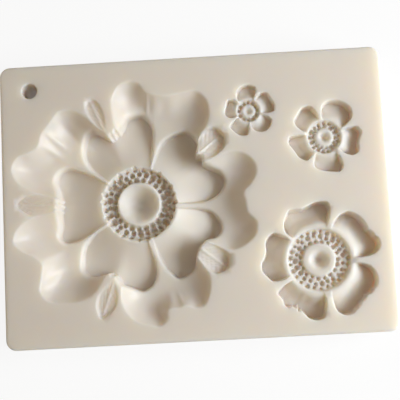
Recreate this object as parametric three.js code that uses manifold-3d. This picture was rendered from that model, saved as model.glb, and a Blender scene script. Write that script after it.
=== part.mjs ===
// A one-piece silicone mould for sugar-paste flowers: a rounded slab with four flower cavities in its
// top face and a hanging hole in one corner. Millimetres and degrees, +Z up, origin at the middle of the
// underside.
//
// The real slab is a single casting that bends in the hand. Here it is divided along its bending line,
// which runs through the plain silicone between the cavities, into two zones that a hinge in the top face
// joins.
import * as THREE from "three";
import { mergeVertices } from "three/addons/utils/BufferGeometryUtils.js";
import Module from "manifold-3d";

const wasm = await Module();
wasm.setup();

// Slab
const FLOOR_THICKNESS = 5.5; // silicone left under the deepest petal
const MARGIN_LEFT = 3.7; // from the large flower's reach to the slab's edges
const MARGIN_TOP = 7;
const MARGIN_RIGHT = 5.1; // from the medium flower's reach to the slab's edges
const MARGIN_BOTTOM = 4.2;
const CORNER_RADIUS = 3.2;
const EDGE_ROUND = 1.3;

// Hanging hole, measured from the slab's left and top edges
const HOLE_DIAMETER = 5;
const HOLE_FROM_LEFT = 9.2;
const HOLE_FROM_TOP = 7.8;

// Bending line between the two zones
const BEND_SLANT = 15; // from the slab's Y axis
const BEND_GAP = 0.3;
const BEND_FROM_PETAL = 1.7; // from the large flower's nearest petal

// Large flower: an outer ring of petals, leaves between them, and a deeper inner ring of petals
const LARGE_REACH = 38;
const LARGE_INNER_REACH = 26.5;
const LARGE_LEAF_REACH = 34;
const LARGE_DEPTH = 9.5;
const LARGE_OUTER_DEPTH = 5;
const LARGE_LEAF_DEPTH = 2.4;
const LARGE_EYE_RADIUS = 6.4;
const LARGE_STAMEN_RADIUS = 10.8;

// Single flowers, each a ring of petals round an eye
const MEDIUM_REACH = 17.6;
const MEDIUM_DEPTH = 6.6;
const MEDIUM_EYE_RADIUS = 4.6;
const MEDIUM_STAMEN_RADIUS = 8.7;
const SMALL_REACH = 11.3;
const SMALL_DEPTH = 4.6;
const SMALL_EYE_RADIUS = 2.4;
const SMALL_STAMEN_RADIUS = 4.5;
const TINY_REACH = 7.6;
const TINY_DEPTH = 3.6;
const TINY_EYE_RADIUS = 1.6;
const TINY_STAMEN_RADIUS = 3.1;

// Where each single flower lies, seen from the middle of the large one: a bearing and the web between
// the two
const MEDIUM_BEARING = -20.3;
const MEDIUM_WEB = 1.5;
const SMALL_BEARING = 16.9;
const SMALL_WEB = 10.9;
const TINY_BEARING = 37.7;
const TINY_WEB_TO_LEAF = 2.5;

// Forms that every flower shares
const SINGLE_EYE_DEPTH = 1.2; // how far a single flower's eye lies under the slab's top
const EYE_BOWL_SHARE = 0.5; // depth of the bowl in the eye, as a share of its radius
const STAMEN_SINK = 1.2; // how far the stamen ring lies under the eye's rim
const WALL_RUN = 0.5; // how far a petal's wall leans outwards on its way up
const SHOULDER_SQUARENESS = 6; // power of the curve from a petal's lobes in to its sides
const NOTCH_SHARPNESS = 1.5; // power of the curve into a petal's notch
const LEAF_FULLNESS = 1.6; // power of the curve from a leaf's tip to its sides
const WALL_TOP_SHARE = 0.85; // depth at the foot of a petal's wall, as a share of the petal's depth
const LEAST_PETAL = 3 * WALL_RUN; // how far the cavity always reaches past the stamen ring
const LEAST_OUTER = 4 * WALL_RUN; // how far the outer ring always reaches past the inner one

// How a surface is drawn: places along a curve as shares of its length, with the share of the depth there
const BOWL_CURVE = [[0.45, 0.8], [0.8, 0.3]];
const SINGLE_PETAL_CURVE = [[0.25, 0.55], [0.55, 0.97]];
const INNER_PETAL_CURVE = [[0.35, 0.5], [0.7, 0.9]];
const OUTER_PETAL_CURVE = [[0.45, 0.95], [0.8, 0.72], [0.95, 0.4]];
const HOLE_SEGMENTS = 24;
const EDGE_SEGMENTS = 3;
const CORNER_SEGMENTS = 6;
const TOOL_LIFT = 1; // how far a cutting form stands above the slab
const SAME_POINT = 1e-4; // corners nearer than this are one
const COLOUR = 0xdcd2c3;
const ROUGHNESS = 0.5;

// One petal: the bearing of its middle, its spread, how far each of its two lobes passes the reach, and
// how deep its notch is.
function petal(bearing, spread, firstLobe, secondLobe, notch) {
  return { bearing, spread, firstLobe, secondLobe, notch };
}

const LARGE_OUTER_PETALS = [
  petal(77, 60, 1.6, 0.6, 4.2),
  petal(-0.5, 67, -1.2, -0.3, 2.6),
  petal(-75, 57, -0.8, -0.9, 3.2),
  petal(-145.5, 60, 1.4, 0.9, 4.4),
  petal(143.5, 60, 0, 2.4, 4.2),
];
const LARGE_INNER_PETALS = [
  petal(107.5, 64, 2.2, 0.8, 4.2),
  petal(35, 68, 1, 0.4, 2.8),
  petal(-38, 66, -0.6, -0.4, 2.6),
  petal(-108.5, 64, 0, -0.2, 3.6),
  petal(177, 61, 0.8, -1, 1.2),
];
// One leaf: its bearing, its spread and how far it passes the leaves' reach.
function leaf(bearing, spread, extra) {
  return { bearing, spread, extra };
}
const LARGE_LEAVES = [
  leaf(111, 17, 2),
  leaf(38.5, 20, -0.6),
  leaf(-40, 20, -0.2),
  leaf(-111, 17, 1.4),
  leaf(178.5, 16, 4.4),
];
const MEDIUM_PETALS = [
  petal(101, 66, 0.2, -0.4, 1.6),
  petal(33.5, 66, 1.2, -0.4, 1.4),
  petal(-40, 68, 0.4, 0.2, 1.2),
  petal(-114, 66, -0.9, 0.2, 1.2),
  petal(174, 60, -0.7, -1, 1.5),
];
const SMALL_PETALS = [
  petal(57, 60, 0.8, 0.6, 0.4),
  petal(-9, 58, 0.1, 0.5, 0.5),
  petal(-81, 62, -1.1, 0, 0.5),
  petal(-157, 62, -0.9, -1.6, 0.5),
  petal(125, 58, -0.4, -0.2, 0.5),
];
const TINY_PETALS = [
  petal(89, 58, 0.5, 0.6, 0.3),
  petal(30, 54, 0.7, 0, 0.3),
  petal(-42, 66, -0.8, 0.2, 0.3),
  petal(-118, 66, -0.9, -0.6, 0.3),
  petal(162, 58, -0.7, -0.8, 0.3),
];

// Bearings and places
const radians = THREE.MathUtils.degToRad;
const mix = THREE.MathUtils.lerp;
const turnBetween = (from, to) => THREE.MathUtils.euclideanModulo(to - from + 180, 360) - 180;
const placeAt = (bearing, distance) =>
  new THREE.Vector2(Math.cos(radians(bearing)), Math.sin(radians(bearing))).multiplyScalar(distance);

// The flowers' places, with the large flower's middle as zero, and the slab that goes round them.
const mediumPlace = placeAt(MEDIUM_BEARING, LARGE_REACH + MEDIUM_REACH + MEDIUM_WEB);
const smallPlace = placeAt(SMALL_BEARING, LARGE_REACH + SMALL_REACH + SMALL_WEB);
const tinyPlace = placeAt(TINY_BEARING, LARGE_LEAF_REACH + TINY_REACH + TINY_WEB_TO_LEAF);
const slabLeft = -LARGE_REACH - MARGIN_LEFT;
const slabTop = Math.max(LARGE_REACH, tinyPlace.y + TINY_REACH, smallPlace.y + SMALL_REACH) + MARGIN_TOP;
const slabRight = Math.max(mediumPlace.x + MEDIUM_REACH, smallPlace.x + SMALL_REACH) + MARGIN_RIGHT;
const slabBottom = Math.min(-LARGE_REACH, mediumPlace.y - MEDIUM_REACH) - MARGIN_BOTTOM;
const slabLength = slabRight - slabLeft;
const slabWidth = slabTop - slabBottom;
const slabThickness = FLOOR_THICKNESS + Math.max(LARGE_DEPTH, MEDIUM_DEPTH, SMALL_DEPTH, TINY_DEPTH);
const largePlace = new THREE.Vector2(-(slabLeft + slabRight) / 2, -(slabTop + slabBottom) / 2);

// Outlines in polar form, round a flower's middle

// The petal that a bearing falls in, with the share of the way from its middle (0) to its sides (-1 and 1).
function petalAt(petals, bearing) {
  for (const one of petals) {
    const share = turnBetween(one.bearing, bearing) / (one.spread / 2);
    if (Math.abs(share) < 1) return { one, share };
  }
  return null;
}

// A petal's rim: a fan from the root to its two lobes, with round shoulders and a notch in the middle.
function petalRim(petals, reach, root, bearing) {
  const found = petalAt(petals, bearing);
  if (!found) return root;
  const { one, share } = found;
  const lobe = reach + mix(one.firstLobe, one.secondLobe, (share + 1) / 2);
  const shoulder = Math.sqrt(1 - Math.abs(share) ** SHOULDER_SQUARENESS);
  const notch = one.notch * Math.max(0, 1 - 2 * Math.abs(share)) ** NOTCH_SHARPNESS;
  return Math.max(root, root + (lobe - root) * shoulder - notch);
}

// A leaf's rim: round sides that meet in a tip.
function leafRim(leaves, reach, root, bearing) {
  for (const one of leaves) {
    const share = Math.abs(turnBetween(one.bearing, bearing)) / (one.spread / 2);
    if (share < 1) return root + (reach + one.extra - root) * (1 - share ** LEAF_FULLNESS);
  }
  return root;
}

// The bearings at which a form is sampled: close together where a petal turns in to its sides.
const SHARES = [-1, -0.96, -0.87, -0.72, -0.5, -0.25, -0.08, 0.08, 0.25, 0.5, 0.72, 0.87, 0.96, 1];
const LEAST_STEP = 0.5;
function bearingsOf(petals) {
  const all = petals.flatMap((one) => SHARES.map((share) => one.bearing + (share * one.spread) / 2));
  const sorted = all.map((bearing) => THREE.MathUtils.euclideanModulo(bearing, 360)).sort((a, b) => a - b);
  return sorted.filter((bearing, i) => i === 0 || bearing - sorted[i - 1] > LEAST_STEP);
}

// Stations of a flower from its middle outwards, each [radius, depth under the slab's top]

// The eye: a bowl in a round boss, with the stamen ring sunk round it.
function eyeStations(eyeRadius, stamenRadius, rimDepth) {
  const bowl = eyeRadius * EYE_BOWL_SHARE;
  const ringDepth = rimDepth + STAMEN_SINK;
  return [
    [0, rimDepth + bowl],
    ...BOWL_CURVE.map(([along, down]) => [eyeRadius * along, rimDepth + bowl * down]),
    [eyeRadius, rimDepth],
    [eyeRadius + WALL_RUN, ringDepth],
    [stamenRadius, ringDepth],
  ];
}

// A single flower's petal slopes down from the stamen ring to its rim, where its wall rises to the
// slab's top.
function singleStations(flower, bearing) {
  const { eyeRadius, stamenRadius, reach, depth, petals } = flower;
  const root = stamenRadius + WALL_RUN;
  const rim = petalRim(petals, reach, root + LEAST_PETAL, bearing);
  const tipDepth = petalAt(petals, bearing) ? depth : SINGLE_EYE_DEPTH;
  const foot = rim - WALL_RUN;
  const slope = SINGLE_PETAL_CURVE.map(([along, down]) => [
    mix(root, foot, along),
    mix(SINGLE_EYE_DEPTH, tipDepth, down),
  ]);
  return [
    ...eyeStations(eyeRadius, stamenRadius, SINGLE_EYE_DEPTH),
    [root, SINGLE_EYE_DEPTH],
    ...slope,
    [foot, tipDepth * WALL_TOP_SHARE],
    [rim, 0],
  ];
}

// The large flower's inner petals slope down to a step, and its outer petals and leaves lie round them.
function largeStations(bearing) {
  const root = LARGE_STAMEN_RADIUS + WALL_RUN;
  const innerRim = petalRim(LARGE_INNER_PETALS, LARGE_INNER_REACH, root + LEAST_PETAL, bearing);
  const tipDepth = petalAt(LARGE_INNER_PETALS, bearing) ? LARGE_DEPTH : LARGE_OUTER_DEPTH;
  const outerRoot = innerRim + WALL_RUN;
  const outerRim = Math.max(
    petalRim(LARGE_OUTER_PETALS, LARGE_REACH, LARGE_INNER_REACH, bearing),
    leafRim(LARGE_LEAVES, LARGE_LEAF_REACH, LARGE_INNER_REACH, bearing),
    outerRoot + LEAST_OUTER,
  );
  const outerDepth = petalAt(LARGE_OUTER_PETALS, bearing) ? LARGE_OUTER_DEPTH : LARGE_LEAF_DEPTH;
  const wall = OUTER_PETAL_CURVE.map(([along, down]) => [mix(outerRoot, outerRim, along), outerDepth * down]);
  const slope = INNER_PETAL_CURVE.map(([along, down]) => [
    mix(root, innerRim, along),
    mix(LARGE_OUTER_DEPTH, tipDepth, down),
  ]);
  return [
    ...eyeStations(LARGE_EYE_RADIUS, LARGE_STAMEN_RADIUS, LARGE_OUTER_DEPTH),
    [root, LARGE_OUTER_DEPTH],
    ...slope,
    [innerRim, tipDepth],
    [outerRoot, outerDepth],
    ...wall,
    [outerRim, 0],
  ];
}

// Solids

// A closed geometry as a solid that can be cut and joined.
function solidOf(geometry) {
  const bare = geometry.clone();
  bare.deleteAttribute("normal");
  bare.deleteAttribute("uv");
  const merged = mergeVertices(bare, SAME_POINT);
  const vertProperties = merged.attributes.position.array;
  const triVerts = new Uint32Array(merged.index.array);
  return new wasm.Manifold(new wasm.Mesh({ numProp: 3, vertProperties, triVerts }));
}

// A solid as a named mesh.
function meshOf(solid, name) {
  const { vertProperties, triVerts } = solid.getMesh();
  const geometry = new THREE.BufferGeometry();
  geometry.setAttribute("position", new THREE.BufferAttribute(vertProperties, 3));
  geometry.setIndex(new THREE.BufferAttribute(triVerts, 1));
  geometry.computeVertexNormals();
  const silicone = new THREE.MeshStandardMaterial({ color: COLOUR, roughness: ROUGHNESS, metalness: 0 });
  const mesh = new THREE.Mesh(geometry, silicone);
  mesh.name = name;
  return mesh;
}

// A flower's cutting form: rings of points at the stations, one point for each bearing, closed above the
// slab.
function cuttingForm(place, bearings, stationsAt) {
  const count = bearings.length;
  const columns = bearings.map((bearing) => {
    const stations = stationsAt(bearing);
    const rimRadius = stations.at(-1)[0];
    return { bearing, stations: [...stations, [rimRadius, -TOOL_LIFT]] };
  });
  const rings = columns[0].stations.length;
  const points = [place.x, place.y, slabThickness - columns[0].stations[0][1]];
  for (let ring = 1; ring < rings; ring++) {
    for (const { bearing, stations } of columns) {
      const [radius, depth] = stations[ring];
      const at = placeAt(bearing, radius).add(place);
      points.push(at.x, at.y, slabThickness - depth);
    }
  }
  points.push(place.x, place.y, slabThickness + TOOL_LIFT);
  const middle = 0;
  const top = points.length / 3 - 1;
  const at = (ring, i) => 1 + (ring - 1) * count + (i % count);
  const faces = [];
  for (let i = 0; i < count; i++) {
    faces.push(middle, at(1, i + 1), at(1, i));
    for (let ring = 1; ring < rings - 1; ring++) {
      faces.push(at(ring, i), at(ring, i + 1), at(ring + 1, i + 1));
      faces.push(at(ring, i), at(ring + 1, i + 1), at(ring + 1, i));
    }
    faces.push(top, at(rings - 1, i), at(rings - 1, i + 1));
  }
  const geometry = new THREE.BufferGeometry();
  geometry.setAttribute("position", new THREE.Float32BufferAttribute(points, 3));
  geometry.setIndex(faces);
  return solidOf(geometry);
}

// The slab: a rectangle with round corners and soft edges.
function slabSolid() {
  const halfLength = slabLength / 2 - EDGE_ROUND;
  const halfWidth = slabWidth / 2 - EDGE_ROUND;
  const corner = CORNER_RADIUS - EDGE_ROUND;
  const outline = new THREE.Shape();
  outline.absarc(halfLength - corner, halfWidth - corner, corner, 0, Math.PI / 2);
  outline.absarc(corner - halfLength, halfWidth - corner, corner, Math.PI / 2, Math.PI);
  outline.absarc(corner - halfLength, corner - halfWidth, corner, Math.PI, 1.5 * Math.PI);
  outline.absarc(halfLength - corner, corner - halfWidth, corner, 1.5 * Math.PI, 2 * Math.PI);
  const geometry = new THREE.ExtrudeGeometry(outline, {
    depth: slabThickness - 2 * EDGE_ROUND,
    bevelThickness: EDGE_ROUND,
    bevelSize: EDGE_ROUND,
    bevelSegments: EDGE_SEGMENTS,
    curveSegments: CORNER_SEGMENTS,
  });
  return solidOf(geometry.translate(0, 0, EDGE_ROUND));
}

// The hanging hole's cutter, right through the slab.
function holeSolid() {
  const radius = HOLE_DIAMETER / 2;
  const geometry = new THREE.CylinderGeometry(radius, radius, slabThickness + 2 * TOOL_LIFT, HOLE_SEGMENTS);
  geometry.rotateX(Math.PI / 2);
  geometry.translate(HOLE_FROM_LEFT - slabLength / 2, slabWidth / 2 - HOLE_FROM_TOP, slabThickness / 2);
  return solidOf(geometry);
}

// All the space on one side of the bending line: side is -1 towards the large flower and 1 towards the
// medium one.
function besideBend(side) {
  const size = slabLength + slabWidth;
  const nearestPetal = LARGE_OUTER_PETALS[1];
  const distance = LARGE_REACH + nearestPetal.firstLobe + BEND_FROM_PETAL;
  const away = placeAt(-BEND_SLANT, distance + side * (size / 2 + BEND_GAP / 2)).add(largePlace);
  const geometry = new THREE.BoxGeometry(size, 2 * size, 4 * slabThickness);
  geometry.rotateZ(radians(-BEND_SLANT));
  return solidOf(geometry.translate(away.x, away.y, slabThickness / 2));
}

const singleFlower = (place, eyeRadius, stamenRadius, reach, depth, petals) => ({
  place: place.clone().add(largePlace),
  eyeRadius,
  stamenRadius,
  reach,
  depth,
  petals,
});
const singles = [
  singleFlower(
    mediumPlace, MEDIUM_EYE_RADIUS, MEDIUM_STAMEN_RADIUS,
    MEDIUM_REACH, MEDIUM_DEPTH, MEDIUM_PETALS,
  ),
  singleFlower(
    smallPlace, SMALL_EYE_RADIUS, SMALL_STAMEN_RADIUS,
    SMALL_REACH, SMALL_DEPTH, SMALL_PETALS,
  ),
  singleFlower(
    tinyPlace, TINY_EYE_RADIUS, TINY_STAMEN_RADIUS,
    TINY_REACH, TINY_DEPTH, TINY_PETALS,
  ),
];

let mould = slabSolid().subtract(holeSolid());
const largeBearings = bearingsOf([...LARGE_OUTER_PETALS, ...LARGE_INNER_PETALS, ...LARGE_LEAVES]);
mould = mould.subtract(cuttingForm(largePlace, largeBearings, largeStations));
for (const flower of singles) {
  const stationsAt = (bearing) => singleStations(flower, bearing);
  const form = cuttingForm(flower.place, bearingsOf(flower.petals), stationsAt);
  mould = mould.subtract(form);
}

const assembly = new THREE.Group();
assembly.add(meshOf(mould.intersect(besideBend(-1)), "large_flower_zone"));
assembly.add(meshOf(mould.intersect(besideBend(1)), "small_flower_zone"));

export default assembly;
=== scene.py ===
"""A silicone mould for sugar-paste flowers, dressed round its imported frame.

The casting is one soft closed surface: polar grids for the four flowers, a flat web between them, a rounded
edge carried round the slab, and a hanging hole. Shape functions work in millimetres in the row frame, with
+Z up and the origin in the middle of the underside. Bearings are degrees, counter-clockwise from +X.
"""

from collections import namedtuple
from types import SimpleNamespace

import bmesh
import bpy
import numpy as np
from mathutils import Matrix, Vector
from mathutils.geometry import delaunay_2d_cdt


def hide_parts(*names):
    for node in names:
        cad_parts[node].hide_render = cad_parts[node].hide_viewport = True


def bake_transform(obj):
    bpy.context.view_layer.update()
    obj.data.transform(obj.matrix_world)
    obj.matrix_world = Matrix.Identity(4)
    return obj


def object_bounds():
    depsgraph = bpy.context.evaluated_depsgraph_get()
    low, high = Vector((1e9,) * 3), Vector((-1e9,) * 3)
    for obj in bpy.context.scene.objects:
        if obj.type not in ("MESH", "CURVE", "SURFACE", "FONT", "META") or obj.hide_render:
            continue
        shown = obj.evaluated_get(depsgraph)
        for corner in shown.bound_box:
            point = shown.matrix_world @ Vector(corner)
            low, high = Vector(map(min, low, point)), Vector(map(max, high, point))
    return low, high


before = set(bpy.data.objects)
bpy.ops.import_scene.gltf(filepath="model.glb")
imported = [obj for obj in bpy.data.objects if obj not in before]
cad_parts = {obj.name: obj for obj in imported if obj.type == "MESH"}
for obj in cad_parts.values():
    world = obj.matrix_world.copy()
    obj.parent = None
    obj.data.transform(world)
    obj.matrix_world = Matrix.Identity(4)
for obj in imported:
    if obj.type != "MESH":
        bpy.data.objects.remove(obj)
cad_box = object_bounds()

bl_info = {
    "name": "Silicone flower mould",
    "version": (1, 0, 0),
    "blender": (4, 2, 0),
    "location": "View3D > Sidebar > Mould",
    "description": "Builds the casting of a silicone flower mould, its finish and a plain stage",
    "category": "Object",
}

MM = 0.001
LENGTH, WIDTH, TOP = (float(high - low) / MM for low, high in zip(*cad_box))

# Petal outlines, each from its foot on one side, over its rim, to its foot on the other side, as bearings and
# radii round the flower's middle.
LARGE_INNER = (
    ((72.5, 11), (74, 15), (76.5, 20), (80, 25.5), (86.5, 28.6), (91, 28.8), (97, 27.7), (101, 25.1),
     (106, 24.0), (111, 23.2), (115, 25.3), (119, 27.8), (123, 28.2), (130, 26.4), (137, 22.8),
     (140, 19.5), (140.5, 15), (141, 11)),
    ((0, 11), (0.5, 17), (3, 22.3), (8, 25.7), (14, 27.5), (20, 26.9), (26, 24.5), (30, 23.5),
     (35, 24.1), (39, 23.5), (44, 26.0), (50, 27.2), (55, 27.4), (62, 25.0), (68, 21.0), (70, 16),
     (70, 11)),
    ((-72, 11), (-71.5, 17), (-68.5, 22.4), (-64.5, 25.5), (-58, 26.1), (-52, 25.9), (-45, 23.7),
     (-37, 22.7), (-31, 23.3), (-26, 25.4), (-20, 26.3), (-14, 25.2), (-8, 22.3), (-5.8, 18), (-6.5, 11)),
    ((-151, 11), (-150.5, 17), (-147, 20.8), (-140, 24.3), (-133, 26.9), (-129, 27.0), (-122, 25.0),
     (-117, 23.3), (-110, 23.2), (-105, 24.9), (-98, 25.5), (-91, 26.3), (-85, 25.2), (-80, 22.4),
     (-77.8, 18), (-79, 14), (-80, 11)),
    ((144, 11), (144.5, 16), (146.5, 21.5), (150, 26.0), (155, 27.7), (160, 27.9), (167, 26.0),
     (174, 25.0), (182, 25.2), (191, 25.6), (199, 26.9), (203, 26.0), (206, 23.0), (207, 18.5),
     (205.5, 14), (205, 11)),
)
LARGE_OUTER = (
    ((43, 20), (43.5, 27), (46, 31), (50, 35.5), (55, 38.4), (60, 39.2), (66, 37.0), (73, 34.6),
     (80, 34.2), (84, 34.9), (88, 37.6), (92, 38.4), (97, 37.3), (101.5, 34.0), (103.5, 29), (104, 20)),
    ((-31, 20), (-31, 28), (-30, 31), (-24, 34.7), (-17, 36.7), (-11.5, 36.1), (-7, 33.2), (-2, 32.6),
     (3.5, 32.2), (7, 34.5), (12, 37.0), (17, 37.4), (23, 35.6), (27, 32.0), (28.5, 28), (29, 20)),
    ((-103.5, 20), (-103.5, 27), (-101, 31), (-95, 34.6), (-88, 36.4), (-82.5, 37.4), (-79.5, 36.5),
     (-77, 33.2), (-71, 33.7), (-67.5, 33.8), (-64, 35.8), (-60.5, 36.6), (-55, 34.8), (-49, 31.2),
     (-46, 28), (-45, 20)),
    ((-177, 20), (-177, 30), (-174, 35), (-170, 38.2), (-166, 39.6), (-161, 38.0), (-156, 35.3),
     (-151, 34.3), (-146, 36.5), (-141, 39.6), (-137, 40.0), (-130, 37.4), (-122, 32.9), (-119, 30),
     (-118, 26), (-118, 20)),
    ((116, 20), (116.5, 27), (119, 32), (123, 36.0), (128, 38.0), (134, 37.4), (141, 37.2), (148, 36.0),
     (152, 37.4), (156, 40.0), (161, 40.6), (166, 38.4), (169.5, 34), (172, 29), (173, 20)),
)
MEDIUM_PETALS = (
    ((73, 9), (73.5, 13), (74.5, 16), (78, 17.4), (85, 17.6), (92, 17.3), (98, 16.6), (107, 16.3),
     (113, 16.9), (118, 17.3), (124, 16.3), (132, 14.9), (137, 13.2), (138, 9)),
    ((0.5, 9), (1, 14), (4, 17.0), (10, 18.7), (16, 18.9), (23, 18.1), (30, 17.5), (38, 17.8),
     (47, 17.7), (56, 16.9), (61, 15.2), (65, 12.5), (67.5, 9)),
    ((-73.5, 9), (-75.5, 13.5), (-74.5, 16.2), (-69, 18.0), (-61, 18.7), (-55, 18.3), (-49, 17.9),
     (-41, 17.8), (-35, 18.3), (-27, 18.6), (-19, 17.8), (-11, 15.6), (-8, 13), (-7.5, 9)),
    ((-145.5, 9), (-146.5, 14), (-144, 16.2), (-136, 16.3), (-130.5, 17.3), (-126, 17.2), (-121, 16.2),
     (-117, 16.9), (-112, 16.5), (-104, 17.7), (-96, 18.0), (-89, 17.3), (-85.5, 14.5), (-85, 9)),
    ((143.5, 9), (143.5, 13), (146.5, 15.8), (154, 16.8), (161, 16.8), (167, 16.2), (174, 16.3),
     (181, 17.3), (187, 17.5), (195, 16.5), (202, 15.3), (205.5, 13), (206, 9)),
)
SMALL_PETALS = (
    ((25, 5), (27, 7.5), (34, 10.6), (44, 12.0), (55, 12.3), (70, 11.9), (83, 11.0), (90.5, 9.2),
     (93, 7), (94, 5)),
    ((-46, 5), (-43, 7.5), (-36, 10.3), (-27, 11.2), (-12, 10.5), (6, 11.3), (14, 10.6), (18, 8), (20, 5)),
    ((-121, 5), (-118, 7.2), (-111, 9.7), (-97, 10.4), (-80, 11.0), (-70, 11.6), (-62, 10.7), (-57, 8.2),
     (-54, 5)),
    ((172, 5), (173, 8), (177, 10.6), (186, 11.1), (200, 10.3), (220, 9.9), (230, 9.1), (233, 7),
     (234, 5)),
    ((103, 5), (104.5, 8), (110, 10.3), (121, 11.2), (135, 10.7), (150, 10.2), (158, 8.3), (163, 6),
     (164, 5)),
)
TINY_PETALS = (
    ((61.5, 3), (64, 5.5), (70, 7.6), (83, 8.1), (101, 8.0), (113, 7.2), (127, 5.4), (132, 3)),
    ((-12, 3), (-9.5, 6), (-3, 7.9), (10, 8.2), (28, 7.9), (42, 7.9), (51, 7.0), (55, 5), (56, 3)),
    ((-84, 3), (-80, 5.8), (-67, 7.3), (-56, 8.1), (-38, 8.2), (-25, 7.7), (-19.5, 6), (-18, 3)),
    ((-149, 3), (-147.5, 5.8), (-142, 7.5), (-126, 7.9), (-106, 8.0), (-95, 7.5), (-90, 6), (-89, 3)),
    ((140.5, 3), (141.5, 6), (148, 7.0), (165, 7.0), (184, 7.3), (195, 6.7), (202, 5.3), (203.5, 3)),
)

# A leaf between two outer petals: its bearing, inner end, tip, half width, where it is widest, how pointed it
# is, and its depth at the tip as a multiple of the leaves' depth.
Leaf = namedtuple("Leaf", "bearing begin tip half_width widest point fall")
LARGE_LEAVES = (
    Leaf(113.0, 25.5, 36.2, 2.1, 0.62, 1.2, 1.5),
    Leaf(38.0, 22.0, 33.9, 4.1, 0.56, 0.9, 3.6),
    Leaf(-38.8, 22.0, 33.6, 3.8, 0.6, 0.9, 3.3),
    Leaf(-110.5, 24.0, 36.6, 2.8, 0.55, 2.3, 1.6),
    Leaf(177.6, 25.0, 38.0, 3.3, 0.5, 1.1, 1.0),
)

# A fold is a soft radial ridge across a petal, or a groove where its height is below zero: its bearing, half
# width in degrees, height and both ends.
Fold = namedtuple("Fold", "bearing spread height begin end")
OUTER_FOLDS = (
    Fold(79, 3.6, 1.5, 27, 44),
    Fold(70, 3.5, 0.7, 28, 44),
    Fold(83.5, 1.0, 0.9, 27, 42),
    Fold(0.5, 4.5, 0.9, 29, 44),
    Fold(-74, 2.6, 1.5, 27, 44),
    Fold(-69, 1.3, 1.1, 28, 42),
    Fold(-92, 2.6, 0.6, 28, 44),
    Fold(-146, 6.5, 0.8, 26, 44),
    Fold(-152.5, 2.4, 0.8, 26, 44),
    Fold(-159, 2.5, -0.5, 29, 44),
    Fold(-144, 1.8, 0.5, 29, 44),
    Fold(131, 2.2, -0.8, 27, 40),
    Fold(140, 5.0, 1.1, 27, 44),
    Fold(139.5, 1.7, 0.6, 28, 41),
    Fold(145.5, 2.0, 0.9, 27, 42),
    Fold(166, 2.2, 0.5, 31, 44),
)
# Where each inner petal's notch lies, and the small ruffles beside the notches.
NOTCHES = (110, 35, -37, -112, 177)
INNER_RUFFLES = (
    Fold(103.5, 1.1, 0.8, 22, 29),
    Fold(107.5, 1.0, 0.8, 21.5, 28),
    Fold(111.5, 1.2, 0.6, 21, 27),
    Fold(-115.5, 1.2, 0.8, 21, 27),
    Fold(-111, 0.9, 0.4, 21, 27),
    Fold(173, 1.0, 0.6, 22.5, 29),
    Fold(177, 1.2, 0.7, 22.5, 29),
    Fold(181, 1.0, 0.5, 22.5, 29),
    Fold(31, 1.0, 0.3, 21, 28),
    Fold(38.5, 1.2, 0.3, 21, 28),
)
MEDIUM_RUFFLES = (
    Fold(-118.5, 1.8, 0.8, 13, 20),
    Fold(-124, 1.6, 0.4, 13, 20),
    Fold(-113.5, 1.5, 0.5, 13, 20),
    Fold(105, 1.8, 0.15, 13, 20),
    Fold(20, 1.6, 0.25, 14, 21),
    Fold(29, 1.5, 0.3, 14, 21),
    Fold(-31, 1.6, 0.25, 14, 21),
    Fold(-40, 1.5, 0.3, 14, 21),
    Fold(-49, 1.5, 0.25, 14, 21),
    Fold(-58, 1.5, 0.2, 14, 21),
)

# A row of stamen pits: its radius, count, turn and how large and deep its pits are.
PitRow = namedtuple("PitRow", "radius count turn size")
LARGE_PITS = (PitRow(7.7, 23, 0, 1.1), PitRow(9.4, 26, 5, 1.15), PitRow(10.9, 27, 1, 0.85))
MEDIUM_PITS = (PitRow(5.7, 19, 0, 0.8), PitRow(7.1, 23, 7, 0.85), PitRow(8.5, 27, 2, 0.75))
SMALL_PITS = (PitRow(3.2, 13, 0, 0.74), PitRow(4.3, 17, 6, 0.78))
TINY_PITS = (PitRow(2.6, 12, 0, 0.82),)

# A flower: its middle, the radii of its eye, of the bowl in the eye and of the stamen ring, how deep the band
# round the ring lies, how far the ring lies under that, the bowl's and the petals' depth, the width over
# which a petal's wall curves down, the radius of its lip, its pits, ruffles and petals.
Flower = namedtuple("Flower", "place eye cup ring level sink bowl depth dish lip pits ruffles petals")

# Forms that the flowers share, in millimetres unless a share or a power is named
RIM_SHARE = 0.8  # the part of a petal's line beyond this share of its reach is its rim
NEAR_BOX = 3.0  # how far round a petal's box its edge is looked for
FAR = 40.0  # stands for a place far outside every petal
MEAN_START = 0.3  # how far inside a petal's edge the mean way begins to count
MEAN_SPAN = 1.8  # over how much more it takes the place of the nearest way
LEAST_WAY = 0.05  # shorter ways count as this one in the mean
LEAST_LIP = 1e-6
LIP_SHARE = 0.5  # a lip's radius is at most this share of the depth
EYE_SINK_SHARE = 0.3  # how far the eye's rim lies under the band, as a share of the ring's sink
BOWL_CURVE = 2.0  # how softly the bowl in the eye runs out
SHOULDER = 0.7  # width of the slope at either side of the stamen ring
SHOULDER_INSET = 0.3  # how far inside the ring's edge the outer slope begins
PIT_RADIUS = 0.84  # radius of a pit of size 1
PIT_STRAY = 0.26  # how far a pit may lie off its even place
PIT_SPREAD = 0.2  # how much a pit's size may differ, as a share
NUMBER_WAVE = 12.99  # these four scatter the pits, by their number and row, in place and in size
ROW_WAVE = 78.2
PLACE_WAVE = 43.0
SIZE_WAVE = 71.0
OUTER_LIP = 0.42  # half width of the soft lip round the outer petals
OUTER_DISH = 7.5  # how far in from their edge the outer petals slope
OUTER_CURVE = 2.2  # how strongly that slope lessens inwards
INNER_START = 0.5  # how far past the ring the inner petals' floor begins to fall
INNER_FALL = 13.0  # how far that floor takes to fall
INNER_CURVE = 0.82  # how that fall lessens outwards
NOTCH_RIDGE = 0.6  # height of the soft ridge that runs in from a notch
NOTCH_RIDGE_WIDTH = 2.8
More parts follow.
